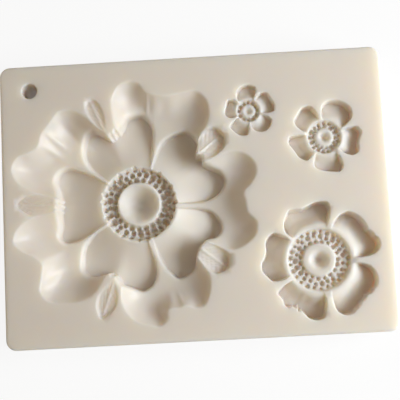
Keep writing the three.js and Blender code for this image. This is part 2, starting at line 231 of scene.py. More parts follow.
NOTCH_RIDGE_FROM = 0.5  # where along a petal the ridge begins, as a share of the rim's radius
FOLD_PARTS = 2.5  # a fold takes one such part of its length to rise and one to fall
BAND_SHARE = 0.1  # width of the band round a single flower's ring, as a share of the ring's radius
STEP_SHARE = 0.45  # how much of a single flower's depth its petals take in the slope beside the ring
STEP_WIDTH = 0.55  # width of that slope, as a share of the petal's length
SOFT_SHARE = 0.3  # how much of a petal's length its floor takes to begin to fall
BED_WIDTH = 0.28  # width of the bed round a single flower's ring, as a share of the ring's radius
LEAF_DISH = 1.2  # width over which a leaf's wall curves down
LEAF_LIP = 0.5  # radius of a leaf's lip
LEAF_SLANT = 0.8  # the way to a leaf's slanting edge, as a share of the way straight across
LEAF_ROOT = 0.4  # depth at a leaf's inner end, as a share of the leaves' depth
LEAF_START = 0.2  # share of a leaf's length over which its floor sets in
LEAF_END = 0.08  # share of a leaf's length over which its floor runs out
MIDRIB_HEIGHT = 0.3
MIDRIB_WIDTH = 0.4
VEIN_HEIGHT = 0.22
VEIN_PITCH = 1.7
VEIN_SLANT = 0.9  # how far a vein runs outwards for each millimetre across
VEIN_POWER = 3  # how narrow the veins are
LARGE_SHIFT = (-0.35, 0.6)  # how far the large flower's middle lies off its petals' middle

# Slab
HOLE_PLACE = (-49.78, 35.7)
HOLE_LIP = 0.45  # radius of the hanging hole's lips
BEND_SLANT = -15.0  # bearing straight across the line between the two zones
BEND_REACH = 18.0  # a reach along that bearing, worked out but not used: nothing bends

# A flower's grid: its columns, and how many rows each of its spans has
Grid = namedtuple("Grid", "columns counts")
LARGE_GRID = Grid(640, (7, 5, 20, 8, 11, 8, 11))
MEDIUM_GRID = Grid(400, (5, 4, 16, 11, 10))
SMALL_GRID = Grid(260, (4, 3, 9, 9, 10))
TINY_GRID = Grid(200, (3, 3, 6, 8, 10))
GRID_MARGIN = 0.3  # how far a flower's grid runs past its lip
# How far the gathered rows reach off the eye's rim, the stamen ring and the petals' rims
LARGE_ROWS = SimpleNamespace(eye=0.8, ring=1.9, before_inner=1.4, past_inner=1.3, before_outer=2.0)
SINGLE_ROWS = SimpleNamespace(before_eye=0.5, past_eye=0.6, ring=0.6, before_rim=1.2)

# Points of the edge, the hole and the flat webs
CORNER_POINTS = 13
EDGE_PITCH = 1.6
EDGE_ROUND_POINTS = 8
EDGE_WALL_POINTS = 8
HOLE_COLUMNS = 56
HOLE_ROUND_POINTS = 6
HOLE_WALL_POINTS = 7
TOP_PITCH = 1.6
UNDERSIDE_PITCH = 2.0
BORDER_ROOM = 0.5  # how far a web's lattice keeps off its border, as a share of its pitch
ISLAND_ROOM = 0.45
CORNER_ROOM = 0.4
INSIDE_BORDER = 1  # the triangulation's mode that leaves out what lies outside the border
SAME_PLACE = 1e-6
SAME_DECIMALS = 6  # points that agree to so many decimals are made one
LEAST_PART = 1e-9  # stands for nought in a division

# Silicone
MOTTLE_SCALE = 55.0
MOTTLE_DETAIL = 3.0
MOTTLE_START = 0.35  # noise below this leaves the colour plain
MOTTLE_SHARE = 0.45
PALE = 1.05  # the mottle's pale shade, as a multiple of the colour
CLOUD_SCALE = 240.0
CLOUD_DETAIL = 5.0
CLOUD_GLOSS = 0.18  # how much the cloudiness changes the roughness
NOISE_MIDDLE = 0.5
SKIN_SCALE = 1400.0
SKIN_DETAIL = 4.0
SKIN_SHARE = 0.5  # the fine skin's share of the bump; the cloudiness has the rest
BUMP_STRENGTH = 0.25
BUMP_DISTANCE = 0.00004
GLOW_REACH = (1.0, 0.79, 0.52)  # how far red, green and blue pass, as shares of the glow's depth
SPECULAR_LEVEL = 0.45
SILICONE_IOR = 1.41

# Stage, with the camera's place in metres, line of sight and right-hand side,
# which are fitted to the photographed outline
CAMERA_PLACE = Vector((0.00715, -0.03449, 0.27582))
CAMERA_SIGHT = Vector((-0.02202, 0.12639, -0.99174))
CAMERA_RIGHT = Vector((0.99820, -0.05255, -0.02886))
SENSOR_WIDTH = 36.0
CLIP_START = 0.01
FLOOR_HALF = 3.0
FLOOR_SHADE = (0.9, 0.9, 0.9, 1.0)
FLOOR_WHITE = 0.88  # how much of the floor's look is plain white
WHITE = (1.0, 1.0, 1.0, 1.0)


def eased(share):
    """A smooth step from 0 to 1: three squares of the share less two cubes, held at both ends."""
    held = np.clip(share, 0.0, 1.0)
    return held * held * (3.0 - 2.0 * held)


def turned(bearing):
    """A bearing brought to between -180 and 180 degrees."""
    return (bearing + 180.0) % 360.0 - 180.0


def plane(bearing, radius):
    """Places in the plane for bearings and radii."""
    return np.stack((radius * np.cos(np.radians(bearing)), radius * np.sin(np.radians(bearing))), axis=-1)


def smooth_line(points, steps=7):
    """A smooth line through points: on each span a cubic, whose slope at a point is that of the parabola
    through the point and its neighbours."""
    chord = np.linalg.norm(np.diff(points, axis=0), axis=1)
    slope = np.gradient(points, np.concatenate(([0.0], np.cumsum(chord))), axis=0)
    share = (np.arange(steps) / steps)[None, :, None]
    rest = 1.0 - share
    line = rest**2 * (1.0 + 2.0 * share) * points[:-1, None]
    line = line + share**2 * (3.0 - 2.0 * share) * points[1:, None]
    bend = share * rest * (rest * slope[:-1, None] - share * slope[1:, None])
    line = line + chord[:, None, None] * bend
    return np.concatenate((line.reshape(-1, 2), points[-1:]))


def inside_loop(places, loop):
    """How far each place lies inside a closed loop, less than zero outside. Near the loop it is the way to
    the nearest side. Further in it is a mean way to all sides, which has no creases: the cube root of half pi
    over the sum of each side's length over the fourth power of the way to it. A place whose rightward ray
    crosses an odd number of sides is inside."""
    after = np.roll(loop, -1, axis=0)
    side = after - loop
    away = places[:, None] - loop
    share = np.clip((away * side).sum(axis=-1) / (side * side).sum(axis=-1), 0.0, 1.0)
    ways = np.linalg.norm(away - share[..., None] * side, axis=-1)
    least = ways.min(axis=1)
    pull = (np.linalg.norm(side, axis=1) / np.maximum(ways, LEAST_WAY) ** 4).sum(axis=1)
    least = least + (np.cbrt(0.5 * np.pi / pull) - least) * eased((least - MEAN_START) / MEAN_SPAN)
    spanned = (loop[:, 1] > places[:, None, 1]) != (after[:, 1] > places[:, None, 1])
    rise = np.where(side[:, 1] == 0.0, 1.0, side[:, 1])
    crossed = spanned & (away[..., 0] < side[:, 0] * away[..., 1] / rise)
    return np.where(crossed.sum(axis=1) % 2 == 1, least, -least)


class PetalRing:
    """A ring of petals, each a smooth line from foot to foot that closes through the flower's middle."""

    def __init__(self, petals, between=()):
        self.loops = []
        rims = [np.array([(leaf.bearing, leaf.tip - LEAF_LIP) for leaf in between]).reshape(-1, 2)]
        for points in petals:
            bearing, radius = np.array(points, float).T
            line = smooth_line(plane(bearing, radius))
            self.loops.append(np.concatenate((line, np.zeros((1, 2)))))
            reach = np.hypot(*line.T)
            far = reach > RIM_SHARE * reach.max()
            rims.append(np.stack((np.degrees(np.arctan2(*line[far].T[::-1])), reach[far]), axis=1))
        self.rims = np.concatenate(rims)

    def rim(self, bearing):
        """The rim's radius at each bearing, straight across the gaps between petals."""
        return np.interp(bearing, self.rims[:, 0], self.rims[:, 1], period=360.0)

    def inside(self, radius, bearing):
        """Distance inside the nearest petal's edge, worked out for places near each petal's box."""
        places = plane(bearing, radius).reshape(-1, 2)
        best = np.full(len(places), -FAR)
        for loop in self.loops:
            low, high = loop.min(axis=0) - NEAR_BOX, loop.max(axis=0) + NEAR_BOX
            near = ((places > low) & (places < high)).all(axis=1)
            best[near] = np.maximum(best[near], inside_loop(places[near], loop))
        return best.reshape(radius.shape)


def pocket(inside, depth, lip, width):
    """Depth of a pocket at a distance inside its edge: outside the edge a quarter circle rounds the lip, and
    inside it a quarter ellipse falls to the floor."""
    lip = np.clip(lip, LEAST_LIP, LIP_SHARE * np.maximum(depth, LEAST_LIP / LIP_SHARE))
    turn = np.clip(1.0 + inside / lip, 0.0, 1.0)
    fall = 1.0 - np.clip(inside / width, 0.0, 1.0)
    return lip * (1.0 - np.sqrt(1.0 - turn * turn)) + (depth - lip) * np.sqrt(1.0 - fall * fall)


def basin(inside, depth):
    """Depth of an open dish at a distance inside its edge: a parabola over the lip, then one less a power of
    the way that is left to the floor."""
    soft = np.clip(inside + OUTER_LIP, 0.0, None) ** 2 / (4.0 * OUTER_LIP)
    soft = np.where(inside > OUTER_LIP, inside, soft)
    return depth * (1.0 - np.clip(1.0 - soft / OUTER_DISH, 0.0, 1.0) ** OUTER_CURVE)


def folded(folds, radius, bearing):
    """Height of soft radial ridges: a bell across the bearing, eased in along the radius and out again."""
    height = np.zeros(radius.shape)
    for fold in folds:
        across = turned(bearing - fold.bearing) / fold.spread
        ease = (fold.end - fold.begin) / FOLD_PARTS
        along = eased((radius - fold.begin) / ease) * eased((fold.end - radius) / ease)
        height = height + fold.height * np.exp(-across * across) * along
    return height


def stamen_pits(radius, bearing, rows, pit_depth):
    """Depth of the round pits of the stamens: half balls in rings, each a little off its even place and
    size."""
    depth = np.zeros(radius.shape)
    for row in rows:
        step = 360.0 / row.count
        number = np.round((bearing - row.turn) / step)
        stray = np.sin((number % row.count) * NUMBER_WAVE + row.radius * ROW_WAVE)
        across = radius * np.sin(np.radians(bearing - row.turn - number * step)) - PIT_STRAY * stray
        along = radius - row.radius - PIT_STRAY * np.sin(stray * PLACE_WAVE)
        size = row.size * PIT_RADIUS * (1.0 + PIT_SPREAD * np.sin(stray * SIZE_WAVE))
        reach = (across * across + along * along) / (size * size)
        depth = np.maximum(depth, row.size * pit_depth * np.sqrt(np.clip(1.0 - reach, 0.0, 1.0)))
    return depth


def with_middle(flower, sizes, radius, bearing, outside):
    """A flower's depth with its middle put in: a bowl in the eye, as a power of one less the square of the
    way out, the sunk ring round it between two smooth steps, and pits."""
    bowl = flower.bowl * np.clip(1.0 - (radius / flower.cup) ** 2, 0.0, 1.0) ** BOWL_CURVE
    past_eye = eased((radius - flower.eye) / SHOULDER)
    middle = flower.level + flower.sink * (EYE_SINK_SHARE + (1.0 - EYE_SINK_SHARE) * past_eye) + bowl
    share = eased((radius - flower.ring + SHOULDER_INSET) / SHOULDER)
    pits = stamen_pits(radius, bearing, flower.pits, sizes.pit_depth)
    return middle * (1.0 - share) + outside * share + pits * past_eye


def single_depth(flower, sizes, ring, radius, bearing):
    """Depth of a single flower: a shallow bed round its middle, and petals whose floor falls outwards, partly
    by a smooth step beside the ring and partly by an even slope that sets in as a parabola."""
    root = flower.ring * (1.0 + BAND_SHARE)
    along = np.clip((radius - root) / (ring.rim(bearing) - root), 0.0, 1.0)
    slope = np.where(along < SOFT_SHARE, along**2 / (2.0 * SOFT_SHARE), along - SOFT_SHARE / 2.0)
    fall = (1.0 - STEP_SHARE) * slope / (1.0 - SOFT_SHARE / 2.0) + STEP_SHARE * eased(along / STEP_WIDTH)
    floor = flower.level + (flower.depth - flower.level) * fall
    inside = ring.inside(radius, bearing) - folded(flower.ruffles, radius, bearing)
    bed = flower.level * (1.0 - eased((radius - flower.ring) / (BED_WIDTH * flower.ring)))
    outside = np.maximum(pocket(inside, floor, flower.lip, flower.dish), bed)
    return with_middle(flower, sizes, radius, bearing, outside)


def leaf_depth(leaf, sizes, radius, bearing):
    """Depth of a leaf: an oval along its bearing, whose half width is a power of the way from its inner end
    times a power of the way to its tip. Its floor falls evenly towards the tip, with a raised midrib and
    slanting veins."""
    away = np.radians(np.clip(turned(bearing - leaf.bearing), -90.0, 90.0))
    along = radius * np.cos(away)
    across = np.abs(radius * np.sin(away))
    share = np.clip((along - leaf.begin) / (leaf.tip - leaf.begin), 0.0, 1.0)
    swell = (share / leaf.widest) ** (leaf.point * leaf.widest)
    taper = ((1.0 - share) / (1.0 - leaf.widest)) ** (leaf.point * (1.0 - leaf.widest))
    inside = (leaf.half_width * swell * taper - across) * LEAF_SLANT
    floor = sizes.leaf_depth * (LEAF_ROOT + (leaf.fall - LEAF_ROOT) * share)
    shape = pocket(inside, floor, LEAF_LIP, LEAF_DISH)
    midrib = MIDRIB_HEIGHT * np.exp(-((across / MIDRIB_WIDTH) ** 2))
    wave = np.cos((along - VEIN_SLANT * across) * 2.0 * np.pi / VEIN_PITCH)
    veins = VEIN_HEIGHT * (0.5 + 0.5 * wave) ** VEIN_POWER
    ends = eased(share / LEAF_START) * eased((1.0 - share) / LEAF_END)
    return np.maximum(shape - (midrib + veins) * np.clip(inside, 0.0, 1.0), 0.0) * ends


def large_depth(flower, sizes, outer, inner, radius, bearing):
    """Depth of the large flower: shallow outer petals with folds, leaves between them, and deep inner petals
    whose floor falls by a power of the way from the ring, with a bell-shaped ridge in from each notch."""
    floor = sizes.outer_depth - folded(OUTER_FOLDS, radius, bearing)
    depth = basin(outer.inside(radius, bearing), floor)
    for leaf in LARGE_LEAVES:
        depth = np.maximum(depth, leaf_depth(leaf, sizes, radius, bearing))
    rim = inner.rim(bearing)
    along = np.clip((radius - flower.ring - INNER_START) / INNER_FALL, 0.0, 1.0)
    floor = flower.level + (flower.depth - flower.level) * along**INNER_CURVE
    for notch in NOTCHES:
        across = radius * np.sin(np.radians(np.clip(turned(bearing - notch), -90.0, 90.0)))
        outwards = eased((radius / rim - NOTCH_RIDGE_FROM) / (1.0 - NOTCH_RIDGE_FROM))
        floor = floor - NOTCH_RIDGE * (np.exp(-((across / NOTCH_RIDGE_WIDTH) ** 2)) * outwards)
    inside = inner.inside(radius, bearing) - folded(flower.ruffles, radius, bearing)
    depth = depth + pocket(inside, np.maximum(floor - depth, 0.0), flower.lip, flower.dish)
    across, up = np.moveaxis(plane(bearing, radius) - np.array(LARGE_SHIFT), -1, 0)
    return with_middle(flower, sizes, np.hypot(across, up), np.degrees(np.arctan2(up, across)), depth)


def spans(keys, counts):
    """Radii between key radii: each span has evenly spaced rows, and each key may vary with the bearing."""
    rows = [keys[0] + np.zeros_like(keys[-1])]
    for low, high, count in zip(keys, keys[1:], counts):
        for share in np.arange(1, count + 1) / count:
            rows.append(low + (high - low) * share + np.zeros_like(keys[-1]))
    return np.array(rows)


def way_to_edge(place, bearing, inset):
    """How far it is from a place, along each bearing, to the slab's outline drawn in by `inset`."""
    across, up = np.cos(np.radians(bearing)), np.sin(np.radians(bearing))
    to_side = np.sign(across) * (LENGTH / 2.0 - inset) - place[0]
    to_side = to_side / np.where(across == 0.0, LEAST_PART, across)
    to_end = np.sign(up) * (WIDTH / 2.0 - inset) - place[1]
    to_end = to_end / np.where(up == 0.0, LEAST_PART, up)
    return np.minimum(np.abs(to_side), np.abs(to_end))


# A sheet of the casting: its points and triangles.
Sheet = namedtuple("Sheet", "points triangles")


def grid_triangles(rows, columns):
    """Triangles of a grid whose columns close on themselves."""
    row, column = np.meshgrid(np.arange(rows - 1), np.arange(columns), indexing="ij")
    here = (row * columns + column).ravel()
    beside = (row * columns + (column + 1) % columns).ravel()
    first = np.stack((here, here + columns, beside + columns), axis=1)
    second = np.stack((here, beside + columns, beside), axis=1)
    return np.concatenate((first, second))


def flower_sheet(flower, bearings, keys, counts, depth_at):
    """A polar grid over a flower: rows follow its rims outwards, and each point lies at its depth."""
    radius = spans(keys, counts)
    bearing = np.broadcast_to(bearings, radius.shape)
    depth = depth_at(radius, bearing)
    depth[-1] = 0.0
    places = plane(bearing, radius) + np.array(flower.place)
    points = np.concatenate((places, (TOP - depth)[..., None]), axis=-1)
    return Sheet(points.reshape(-1, 3), grid_triangles(*radius.shape)), points[-1]


def all_round(columns):
    """Evenly spaced bearings all the way round."""
    return np.arange(columns) * 360.0 / columns - 180.0


def large_sheet(flower, sizes, grid):
    """The large flower's grid, with rows gathered at the stamen ring and at both rims."""
    bearings = all_round(grid.columns)
    outer_ring = PetalRing(LARGE_OUTER, LARGE_LEAVES)
    inner_ring = PetalRing(flower.petals)
    inner, outer = inner_ring.rim(bearings), outer_ring.rim(bearings)
    limit = way_to_edge(flower.place, bearings, sizes.edge_round + GRID_MARGIN)
    edge = np.minimum(outer + OUTER_LIP + GRID_MARGIN, limit)
    outer = np.minimum(outer, edge - OUTER_LIP)
    keys = (
        0.0,
        flower.eye - LARGE_ROWS.eye,
        flower.eye + LARGE_ROWS.eye,
        flower.ring + LARGE_ROWS.ring,
        inner - LARGE_ROWS.before_inner,
        inner + LARGE_ROWS.past_inner,
        outer - LARGE_ROWS.before_outer,
        edge,
    )

    def depth_at(radius, bearing):
        return large_depth(flower, sizes, outer_ring, inner_ring, radius, bearing)

    return flower_sheet(flower, bearings, keys, grid.counts, depth_at)


def single_sheet(flower, sizes, grid):
    """A single flower's grid, with rows gathered at the stamen ring and at the rim."""
    bearings = all_round(grid.columns)
    ring = PetalRing(flower.petals)
    rim = ring.rim(bearings)
    keys = (
        0.0,
        flower.eye - SINGLE_ROWS.before_eye,
        flower.eye + SINGLE_ROWS.past_eye,
        flower.ring + SINGLE_ROWS.ring,
        rim - SINGLE_ROWS.before_rim,
        rim + flower.lip + GRID_MARGIN,
    )

    def depth_at(radius, bearing):
        return single_depth(flower, sizes, ring, radius, bearing)

    return flower_sheet(flower, bearings, keys, grid.counts, depth_at)


def outline(sizes):
    """The slab's outline as core points and outward normals: straights and quarter-circle corners, in
    order."""
    half_length = LENGTH / 2.0 - sizes.corner_radius
    half_width = WIDTH / 2.0 - sizes.corner_radius
    corners = ((1, 1, 0), (-1, 1, 90), (-1, -1, 180), (1, -1, 270))
    cores, bearings = [], []
    for number, (right, up, start) in enumerate(corners):
        here = np.array((right * half_length, up * half_width))
        following = corners[(number + 1) % 4]
        there = np.array((following[0] * half_length, following[1] * half_width))
        arc = np.linspace(start, start + 90.0, CORNER_POINTS)
        cores.append(np.repeat(here[None], len(arc), axis=0))
        bearings.append(arc)
        steps = int(np.linalg.norm(there - here) / EDGE_PITCH)
        share = (np.arange(1, steps) / steps)[:, None]
        cores.append(here + (there - here) * share)
        bearings.append(np.full(steps - 1, start + 90.0))
    return np.concatenate(cores), plane(np.concatenate(bearings), 1.0)


def round_profile(radius, round_points, wall_points):
    """Insets and heights down a wall whose top and bottom edges are quarter circles."""
    turn = np.radians(np.linspace(0.0, 90.0, round_points))
    inset = radius * (1.0 - np.sin(turn))
    drop = radius * (1.0 - np.cos(turn))
    wall = np.linspace(TOP - radius, radius, wall_points)[1:-1]
    insets = np.concatenate((inset, np.zeros_like(wall), inset[::-1]))
    return insets, np.concatenate((TOP - drop, wall, drop[::-1]))


def wall_sheet(places, height):
    """A wall from rows of places in the plane and each row's height, with its top and bottom loops."""
    heights = np.broadcast_to(height[:, None, None], places.shape[:2] + (1,))
    points = np.concatenate((places, heights), axis=-1)
    return Sheet(points.reshape(-1, 3), grid_triangles(*places.shape[:2])), points[0], points[-1]


def edge_sheet(sizes):
    """The slab's edge: a profile of inset and height, round at top and bottom, carried round the outline."""
    core, normal = outline(sizes)
    inset, height = round_profile(sizes.edge_round, EDGE_ROUND_POINTS, EDGE_WALL_POINTS)
    return wall_sheet(core + normal * (sizes.corner_radius - inset)[:, None, None], height)


def hole_sheet(sizes):
    """The hanging hole's wall: a profile of radius and height with round lips and a slight taper, carried
    round a circle."""
    lip, height = round_profile(HOLE_LIP, HOLE_ROUND_POINTS, HOLE_WALL_POINTS)
    taper = sizes.hole_foot + (sizes.hole_radius - sizes.hole_foot) * height / TOP
    bearing = np.arange(HOLE_COLUMNS) * 360.0 / HOLE_COLUMNS
    return wall_sheet(plane(bearing, (taper + lip)[:, None]) + np.array(HOLE_PLACE), height)


def past_loop(loop, place, points):
    """How far points lie past a loop that goes round a place once, by the loop's radius at each bearing."""
    offset = loop[:, :2] - place
    away = points - place
    bearing = np.arctan2(away[:, 1], away[:, 0])
    around = np.arctan2(offset[:, 1], offset[:, 0])
    return np.hypot(*away.T) - np.interp(bearing, around, np.hypot(*offset.T), period=2.0 * np.pi)


def web_sheet(sizes, border, islands, height, pitch):
    """A flat web: an even lattice of points inside the border and outside the islands, joined to both."""
    across = np.arange(-LENGTH / 2.0, LENGTH / 2.0, pitch)
    up = np.arange(-WIDTH / 2.0, WIDTH / 2.0, pitch)
    lattice = np.stack(np.meshgrid(across, up), axis=-1).reshape(-1, 2)
    room = np.abs(border[:, :2]).max(axis=0) - pitch * BORDER_ROOM
    lattice = lattice[(np.abs(lattice) < room).all(axis=1)]
    for loop, place in islands:
        lattice = lattice[past_loop(loop, place, lattice) > pitch * ISLAND_ROOM]
    corner = np.abs(lattice) - (room - sizes.corner_radius)
    rounded = np.hypot(*corner.T) < sizes.corner_radius - pitch * CORNER_ROOM
    lattice = lattice[(corner.min(axis=1) < 0.0) | rounded]
    loops = [border[:, :2]] + [loop[:, :2] for loop, _ in islands]
    edges, first = [], 0
    for loop in loops:
        number = np.arange(len(loop))
        edges.append(np.stack((number, (number + 1) % len(loop)), axis=1) + first)
        first += len(loop)
    flat = np.concatenate(loops + [lattice])
    corners = list(map(Vector, flat.tolist()))
    sides = np.concatenate(edges).tolist()
    _, _, faces, origins, _, _ = delaunay_2d_cdt(corners, sides, [], INSIDE_BORDER, SAME_PLACE)
    source = np.array([origin[0] for origin in origins])
    triangles = source[np.array(faces)]
    middle = flat[triangles].mean(axis=1)
    keep = np.ones(len(triangles), bool)
    for loop, place in islands:
        keep &= past_loop(loop, place, middle) > 0.0
    points = np.concatenate((flat, np.full((len(flat), 1), height)), axis=1)
    return Sheet(points, triangles[keep])


def joined(sheets):
    """One mesh's points and triangles: points in the same place are made one, and empty triangles go."""
    first, points, triangles = 0, [], []
    for sheet in sheets:
        points.append(sheet.points)
        triangles.append(sheet.triangles + first)
        first += len(sheet.points)
    every = np.concatenate(points)
    places = np.round(every, SAME_DECIMALS)
    _, keep, number = np.unique(places, axis=0, return_index=True, return_inverse=True)
    faces = number.reshape(-1)[np.concatenate(triangles)]
    whole = (faces[:, 0] != faces[:, 1]) & (faces[:, 1] != faces[:, 2]) & (faces[:, 2] != faces[:, 0])
    return every[keep], faces[whole]


def mesh_object(name, points, triangles):
    """A mesh object at the origin, in metres, with smooth faces that point outwards."""
    mesh = bpy.data.meshes.new(name)
    mesh.from_pydata((points * MM).tolist(), [], triangles.tolist())
    work = bmesh.new()
    work.from_mesh(mesh)
    bmesh.ops.recalc_face_normals(work, faces=work.faces)
    work.to_mesh(mesh)
    work.free()
    mesh.polygons.foreach_set("use_smooth", np.ones(len(mesh.polygons), bool))
    piece = bpy.data.objects.new(name, mesh)
    bpy.context.scene.collection.objects.link(piece)
    return piece


class Value:
    """A shader socket that takes part in Python sums: each operator adds a Math node."""

    def __init__(self, shader, socket):
        self.shader = shader
        self.socket = socket

    def __add__(self, other):
        return self.shader.math("ADD", self, other)

    def __sub__(self, other):
        return self.shader.math("SUBTRACT", self, other)

    def __rsub__(self, other):
        return self.shader.math("SUBTRACT", other, self)

    def __mul__(self, other):
        return self.shader.math("MULTIPLY", self, other)

    __radd__ = __add__
    __rmul__ = __mul__


class Shader:
    """The node tree of a material or world, filled through one method."""

    def __init__(self, owner):
        owner.use_nodes = True
        self.tree = owner.node_tree
        self.tree.nodes.clear()

    def node(self, kind, settings=None, inputs=None, output=0):
        """Adds a node: its settings first, then the values or links of its sockets."""
        node = self.tree.nodes.new(kind)
        for key, value in (settings or {}).items():
            setattr(node, key, value)
        for key, value in (inputs or {}).items():
            if isinstance(value, Value):
                self.tree.links.new(value.socket, node.inputs[key])
            else:
                node.inputs[key].default_value = value
        return Value(self, node.outputs[output]) if len(node.outputs) else node

    def math(self, operation, first, second):
        """A Math node on two values."""
        return self.node("ShaderNodeMath", {"operation": operation}, {0: first, 1: second})

    def mix(self, factor, first, second):
        """A colour between two, by a factor."""
        return self.node("ShaderNodeMix", {"data_type": "RGBA"}, {0: factor, 6: first, 7: second}, 2)


def length_setting(name, description, millimetres):
    """A length setting, given in millimetres."""
    return bpy.props.FloatProperty(
        name=name, description=description, default=millimetres * MM, unit="LENGTH"
    )


def colour_setting(name, description, shade):
    """A colour setting."""
    return bpy.props.FloatVectorProperty(
        name=name, description=description, default=shade, subtype="COLOR", size=4
    )


def share_setting(name, description, part):
    """A setting between 0 and 1."""
    return bpy.props.FloatProperty(name=name, description=description, default=part, min=0.0, max=1.0)


def power_setting(name, description, watts):
    """A lamp's power setting."""
    return bpy.props.FloatProperty(name=name, description=description, default=watts, subtype="POWER")


def place_setting(name, description, metres):
    """A place setting."""
    return bpy.props.FloatVectorProperty(
        name=name, description=description, default=metres, subtype="TRANSLATION"
    )


def in_millimetres(settings):
    """The lengths of a group of settings, in millimetres."""
    return SimpleNamespace(**{name: getattr(settings, name) / MM for name in settings.__annotations__})


class MouldSizes(bpy.types.PropertyGroup):
    """Sizes of the slab and its cavities."""

    corner_radius: length_setting("Corner radius", "Radius of the slab's corners, seen from above", 3.2)
    edge_round: length_setting("Edge round", "Radius of the slab's top and bottom edges", 0.8)
    hole_radius: length_setting("Hole radius", "Radius of the hanging hole at the top", 2.35)
    hole_foot: length_setting("Hole foot", "Radius of the hanging hole at the underside", 2.0)
    inner_depth: length_setting("Inner depth", "Depth of the large flower's inner petals", 9.4)
    outer_depth: length_setting("Outer depth", "Depth of the large flower's outer petals", 5.4)
    leaf_depth: length_setting("Leaf depth", "Depth of which the leaves' own depths are multiples", 0.8)
    medium_depth: length_setting("Medium depth", "Depth of the medium flower's petals", 6.2)
    small_depth: length_setting("Small depth", "Depth of the small flower's petals", 4.3)
    tiny_depth: length_setting("Tiny depth", "Depth of the tiny flower's petals", 3.3)
    pit_depth: length_setting("Pit depth", "Depth of the stamen pits", 2.0)


class MouldFinish(bpy.types.PropertyGroup):
    """Colours and gloss of the silicone."""

    colour: colour_setting("Colour", "Colour of the silicone", (0.795, 0.732, 0.662, 1.0))
    roughness: share_setting("Roughness", "Roughness of the satin surface", 0.35)
    glow: share_setting("Glow", "Share of light that passes into the silicone", 0.75)
    glow_depth: length_setting("Glow depth", "How far light passes into the silicone", 9.0)


class MouldStage(bpy.types.PropertyGroup):
    """Light, floor and camera."""

    key_power: power_setting("Key power", "Power of the soft lamp at the right", 2.8)
    key_size: length_setting("Key size", "Width of either lamp", 300)
    key_place: place_setting("Key place", "Where the soft lamp stands", (0.40, -0.05, 0.265))
    key_colour: colour_setting("Key colour", "Colour of the soft lamp", (0.94, 0.98, 1.0, 1.0))
    bounce_power: power_setting("Bounce power", "Power of the weak warm lamp at the left", 0.16)
    bounce_place: place_setting("Bounce place", "Where the warm lamp stands", (-0.38, 0.0, 0.11))
    bounce_colour: colour_setting("Bounce colour", "Colour of the warm lamp", (1.0, 0.72, 0.42, 1.0))
    fill: bpy.props.FloatProperty(
        name="Fill", description="Strength of the even light all round", default=0.18
    )
    fill_colour: colour_setting("Fill colour", "Colour of the even light", (1.0, 0.87, 0.67, 1.0))
    lens: bpy.props.FloatProperty(
        name="Lens", description="The camera's focal length in millimetres", default=78.0
    )


def flowers(sizes):
    """The large, medium, small and tiny flower."""
    large = Flower(
        place=(-17.28, -1.4), eye=6.5, cup=6.6, ring=11.1, level=4.4, sink=2.3, bowl=6.0,
        depth=sizes.inner_depth, dish=0.5, lip=1.1,
        pits=LARGE_PITS, ruffles=INNER_RUFFLES, petals=LARGE_INNER,
    )
    medium = Flower(
        place=(36.28, -21.2), eye=4.7, cup=3.0, ring=9.3, level=0.7, sink=1.3, bowl=3.5,
        depth=sizes.medium_depth, dish=0.6, lip=0.35,
        pits=MEDIUM_PITS, ruffles=MEDIUM_RUFFLES, petals=MEDIUM_PETALS,
    )
    small = Flower(
        place=(40.34, 16.1), eye=2.6, cup=1.8, ring=4.9, level=0.5, sink=1.2, bowl=2.0,
        depth=sizes.small_depth, dish=0.5, lip=0.3,
        pits=SMALL_PITS, ruffles=(), petals=SMALL_PETALS,
    )
    tiny = Flower(
        place=(17.63, 25.57), eye=1.8, cup=1.3, ring=3.3, level=0.4, sink=0.95, bowl=1.4,
        depth=sizes.tiny_depth, dish=0.4, lip=0.25,
        pits=TINY_PITS, ruffles=(), petals=TINY_PETALS,
    )
    return large, medium, small, tiny


def casting(sizes):
    """The whole casting's points and triangles: flowers, edge, hole, and the webs on top and underneath."""
    large, medium, small, tiny = flowers(sizes)
    made = (
        large_sheet(large, sizes, LARGE_GRID),
        single_sheet(medium, sizes, MEDIUM_GRID),
        single_sheet(small, sizes, SMALL_GRID),
        single_sheet(tiny, sizes, TINY_GRID),
    )
    edge, top_border, bottom_border = edge_sheet(sizes)
    hole, hole_top, hole_bottom = hole_sheet(sizes)
    islands = [(border, flower.place) for (_, border), flower in zip(made, (large, medium, small, tiny))]
    islands.append((hole_top, HOLE_PLACE))
    web = web_sheet(sizes, top_border, islands, TOP, TOP_PITCH)
    underside = web_sheet(sizes, bottom_border, ((hole_bottom, HOLE_PLACE),), 0.0, UNDERSIDE_PITCH)
    return joined([sheet for sheet, _ in made] + [edge, hole, web, underside])


def noise(shader, place, scale, detail):
    """A cloudy noise over places."""
    return shader.node("ShaderNodeTexNoise", None, {"Vector": place, "Scale": scale, "Detail": detail})


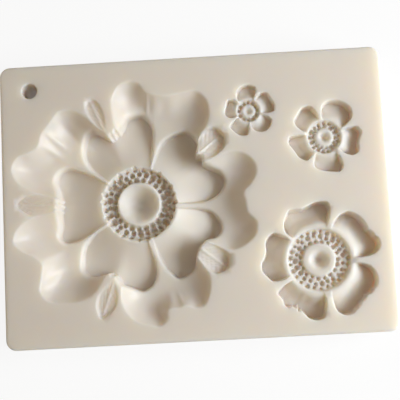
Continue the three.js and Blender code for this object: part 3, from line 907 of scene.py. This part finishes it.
def silicone(finish):
    """Satin cream silicone that light passes into, with a soft mottle, faint cloudiness in the gloss and a
    very fine skin."""
    material = bpy.data.materials.new("cream_silicone")
    shader = Shader(material)
    place = shader.node("ShaderNodeTexCoord", output="Object")
    mottle = noise(shader, place, MOTTLE_SCALE, MOTTLE_DETAIL)
    skin = noise(shader, place, SKIN_SCALE, SKIN_DETAIL)
    cloud = noise(shader, place, CLOUD_SCALE, CLOUD_DETAIL)
    pale = tuple(min(1.0, part * PALE) for part in finish.colour[:3]) + (1.0,)
    tone = shader.mix((mottle - MOTTLE_START) * MOTTLE_SHARE, tuple(finish.colour), pale)
    height = skin * SKIN_SHARE + cloud * (1.0 - SKIN_SHARE)
    settings = {"Strength": BUMP_STRENGTH, "Distance": BUMP_DISTANCE, "Height": height}
    bump = shader.node("ShaderNodeBump", None, settings)
    inputs = {
        "Base Color": tone,
        "Roughness": (cloud - NOISE_MIDDLE) * CLOUD_GLOSS + finish.roughness,
        "Normal": bump,
        "Subsurface Weight": finish.glow,
        "Subsurface Radius": GLOW_REACH,
        "Subsurface Scale": finish.glow_depth,
        "Specular IOR Level": SPECULAR_LEVEL,
        "IOR": SILICONE_IOR,
    }
    surface = shader.node("ShaderNodeBsdfPrincipled", None, inputs)
    shader.node("ShaderNodeOutputMaterial", None, {"Surface": surface})
    return material


def seen_ray(shader):
    """1 where the camera, a mirror or glass looks, and 0 for light that falls on something."""
    seen = shader.node("ShaderNodeLightPath", output="Is Camera Ray")
    for kind in ("Is Glossy Ray", "Is Transmission Ray"):
        seen = seen + shader.node("ShaderNodeLightPath", output=kind)
    return shader.math("MINIMUM", seen, 1.0)


def floor_finish():
    """A white floor: the camera, mirrors and glass see mostly plain white, with a faint shadow left in it."""
    material = bpy.data.materials.new("white_floor")
    shader = Shader(material)
    seen = seen_ray(shader)
    matt = shader.node("ShaderNodeBsdfDiffuse", None, {"Color": FLOOR_SHADE})
    plain = shader.node("ShaderNodeEmission", None, {"Color": WHITE, "Strength": 1.0})
    surface = shader.node("ShaderNodeMixShader", None, {0: seen * FLOOR_WHITE, 1: matt, 2: plain})
    shader.node("ShaderNodeOutputMaterial", None, {"Surface": surface})
    return material


def even_light(stage):
    """The world: an even light all round, seen by the camera, mirrors and glass as plain white."""
    world = bpy.data.worlds.new("even_light")
    shader = Shader(world)
    seen = seen_ray(shader)
    fill = {"Color": tuple(stage.fill_colour), "Strength": stage.fill}
    even = shader.node("ShaderNodeBackground", None, fill)
    plain = shader.node("ShaderNodeBackground", None, {"Color": WHITE, "Strength": 1.0})
    surface = shader.node("ShaderNodeMixShader", None, {0: seen, 1: even, 2: plain})
    shader.node("ShaderNodeOutputWorld", None, {"Surface": surface})
    return world


def soft_lamp(name, power, size, shade, place):
    """A square lamp that faces the mould and that the camera doesn't see."""
    lamp = bpy.data.lights.new(name, "AREA")
    lamp.energy = power
    lamp.size = size
    lamp.color = shade[:3]
    stand = bpy.data.objects.new(name, lamp)
    stand.location = place
    stand.rotation_euler = Vector(place).to_track_quat("Z", "Y").to_euler()
    stand.visible_camera = False
    bpy.context.scene.collection.objects.link(stand)


class MOULD_OT_casting(bpy.types.Operator):
    """Builds the silicone casting and hides the frame's two zones"""

    bl_idname = "mould.casting"
    bl_label = "Casting"

    def execute(self, context):
        points, triangles = casting(in_millimetres(context.scene.mould_sizes))
        piece = mesh_object("silicone_mould", points, triangles)
        piece.data.materials.append(silicone(context.scene.mould_finish))

        reach = plane(BEND_SLANT, BEND_REACH)
        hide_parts("large_flower_zone", "small_flower_zone")
        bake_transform(piece)
        return {"FINISHED"}


class MOULD_OT_stage(bpy.types.Operator):
    """Sets the floor, both lamps, the even light and the camera"""

    bl_idname = "mould.stage"
    bl_label = "Stage"

    def execute(self, context):
        scene = context.scene
        stage = scene.mould_stage
        half = FLOOR_HALF
        mesh = bpy.data.meshes.new("floor")
        corners = [(-half, -half, 0), (half, -half, 0), (half, half, 0), (-half, half, 0)]
        mesh.from_pydata(corners, [], [(0, 1, 2, 3)])
        floor = bpy.data.objects.new("floor", mesh)
        mesh.materials.append(floor_finish())
        scene.collection.objects.link(floor)

        soft_lamp("soft_lamp", stage.key_power, stage.key_size, stage.key_colour, stage.key_place)
        soft_lamp("warm_bounce", stage.bounce_power, stage.key_size, stage.bounce_colour, stage.bounce_place)

        scene.world = even_light(stage)

        lens = bpy.data.cameras.new("camera")
        lens.lens = stage.lens
        lens.sensor_width = SENSOR_WIDTH
        lens.clip_start = CLIP_START
        camera = bpy.data.objects.new("camera", lens)
        back = -CAMERA_SIGHT.normalized()
        right = (CAMERA_RIGHT - back * CAMERA_RIGHT.dot(back)).normalized()
        turn = Matrix((right, back.cross(right), back)).transposed()
        camera.matrix_world = Matrix.Translation(CAMERA_PLACE) @ turn.to_4x4()
        scene.collection.objects.link(camera)
        scene.camera = camera
        scene.view_settings.view_transform = "Standard"
        return {"FINISHED"}


class MOULD_PT_panel(bpy.types.Panel):
    """Lists the mould's settings and the buttons that build its pieces"""

    bl_idname = "MOULD_PT_panel"
    bl_label = "Silicone mould"
    bl_space_type = "VIEW_3D"
    bl_region_type = "UI"
    bl_category = "Mould"

    def draw(self, context):
        for settings in (context.scene.mould_sizes, context.scene.mould_finish, context.scene.mould_stage):
            for name in settings.__annotations__:
                self.layout.prop(settings, name)
        self.layout.operator(MOULD_OT_casting.bl_idname)
        self.layout.operator(MOULD_OT_stage.bl_idname)


CLASSES = (MouldSizes, MouldFinish, MouldStage, MOULD_OT_casting, MOULD_OT_stage, MOULD_PT_panel)


def register():
    """Registers the classes and puts the settings on the scene."""
    for one in CLASSES:
        bpy.utils.register_class(one)
    bpy.types.Scene.mould_sizes = bpy.props.PointerProperty(type=MouldSizes)
    bpy.types.Scene.mould_finish = bpy.props.PointerProperty(type=MouldFinish)
    bpy.types.Scene.mould_stage = bpy.props.PointerProperty(type=MouldStage)


def unregister():
    """Takes the settings and the classes away again."""
    del bpy.types.Scene.mould_sizes
    del bpy.types.Scene.mould_finish
    del bpy.types.Scene.mould_stage
    for one in reversed(CLASSES):
        bpy.utils.unregister_class(one)


def main():
    """Builds everything."""
    register()
    bpy.ops.mould.stage()
    bpy.ops.mould.casting()


if __name__ == "__main__":
    main()
